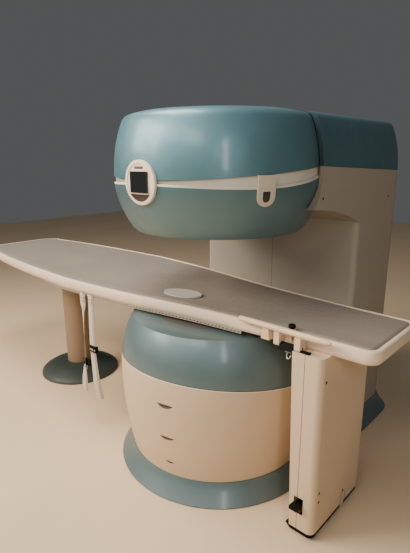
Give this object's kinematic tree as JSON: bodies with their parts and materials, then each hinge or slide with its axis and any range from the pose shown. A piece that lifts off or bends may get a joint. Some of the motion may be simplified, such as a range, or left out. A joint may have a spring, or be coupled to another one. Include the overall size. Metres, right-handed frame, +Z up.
{
  "type": "mri scanner",
  "caption": "Open C-arm MRI scanner: round lower magnet, bowl-shaped upper head on a rear column, and a long patient table that swings on a pivot and rolls on a leg.",
  "frame": {"origin": "On the floor under the centre of the two magnet poles, at the centre of the steel base plate's underside.", "axes": "+X along the patient table towards its rolling leg, +Y from the poles back to the column, +Z up."},
  "size_m": [2.892, 1.5273, 1.64],
  "materials": {
    "yoke_steel": "dull painted steel",
    "magnet_blocks": "dull plated blocks",
    "coil_resin": "cast resin",
    "teal_paint": "metallic teal lacquer, satin",
    "cream_plastic": "warm cream moulded cover",
    "screen_glass": "dark glossy window",
    "black_plastic": "black plastic",
    "wheel_rubber": "dark rubber",
    "bare_steel": "zinc plated",
    "grey_vinyl": "matt grey vinyl pad",
    "pale_plastic": "pale plastic",
    "beige_plastic": "beige coated",
    "white_webbing": "woven webbing"
  },
  "bodies": {
    "magnet": {"base_plate": "yoke_steel", "pedestal": "yoke_steel", "lower_yoke": "yoke_steel", "rear_yoke": "yoke_steel", "upper_yoke": "yoke_steel", "lower_magnets": "magnet_blocks", "upper_magnets": "magnet_blocks", "lower_pole_shoe": "yoke_steel", "upper_pole_shoe": "yoke_steel", "lower_gradient_coil": "coil_resin", "upper_gradient_coil": "coil_resin", "lower_transmit_coil": "coil_resin", "upper_transmit_coil": "coil_resin", "base_plinth": "teal_paint", "neck_cover": "cream_plastic", "drum_band": "cream_plastic", "drum_cover": "teal_paint", "lower_pole_cover": "cream_plastic", "upper_pole_cover": "cream_plastic", "head_bowl": "teal_paint", "head_belt": "cream_plastic", "head_shell": "teal_paint", "arm_hood": "teal_paint", "column_side_right": "cream_plastic", "column_side_left": "cream_plastic", "column_front_panel": "cream_plastic", "column_rear_panel": "cream_plastic", "arm_underside": "cream_plastic", "display_housing": "cream_plastic", "display_screen": "screen_glass", "display_lens": "screen_glass", "laser_tongue": "cream_plastic", "laser_window": "screen_glass", "cover_screws": "black_plastic", "pivot_column": "cream_plastic", "pivot_cone": "teal_paint"},
    "table": {"pivot_shaft": "bare_steel", "tabletop": "cream_plastic", "table_frame": "bare_steel", "mat": "grey_vinyl", "accessory_plate": "pale_plastic", "strap_rail": "beige_plastic", "strap_near": "white_webbing", "strap_far": "white_webbing", "strap_buckles": "black_plastic", "handle_bar": "beige_plastic", "handle_brackets": "beige_plastic", "leg_cover_inner": "cream_plastic", "leg_cover_outer": "cream_plastic", "leg_post": "bare_steel", "leg_foot": "bare_steel", "leg_skirt": "black_plastic", "wheel_axles": "bare_steel", "leg_screws": "black_plastic"},
    "release_lever": {"release_lever": "black_plastic"},
    "lock_knob": {"lock_knob": "black_plastic"},
    "wheel_near": {"wheel_near": "wheel_rubber"},
    "wheel_far": {"wheel_far": "wheel_rubber"},
    "brake_pedal": {"brake_pedal": "black_plastic"},
    "brake_shoe": {"brake_shoe": "black_plastic"}
  },
  "joints": [
    {"name": "table_swing", "type": "hinge", "parent": "magnet", "child": "table", "pos_m": [-1.292, 0, 0.4], "axis": [0, 0, 1], "range_deg": [-60, 3]},
    {"name": "wheel_near_roll", "type": "hinge", "parent": "table", "child": "wheel_near", "pos_m": [0.655, -0.15, 0.036], "axis": [1, 0, 0], "continuous": true},
    {"name": "wheel_far_roll", "type": "hinge", "parent": "table", "child": "wheel_far", "pos_m": [0.655, 0.096, 0.036], "axis": [1, 0, 0], "continuous": true},
    {"name": "pedal_press", "type": "hinge", "parent": "table", "child": "brake_pedal", "pos_m": [0.641, -0.205, 0.134], "axis": [1, 0, 0], "range_deg": [0, 14]},
    {"name": "brake_drop", "type": "slide", "parent": "table", "child": "brake_shoe", "axis": [0, 0, -1], "range_m": [0, 0.007]},
    {"name": "lever_tilt", "type": "hinge", "parent": "table", "child": "release_lever", "pos_m": [0.5515, -0.24112, 0.78], "axis": [1, 0, 0], "range_deg": [0, 12], "stiffness_Nm_per_rad": 0.6},
    {"name": "knob_turn", "type": "hinge", "parent": "table", "child": "lock_knob", "pos_m": [0.543, -0.20559, 0.83], "axis": [0, 0, 1], "range_deg": [-180, 180]}
  ],
  "couplings": [
    {"joint": "brake_drop", "follows": "pedal_press", "m_per_rad": 0.0285}
  ]
}
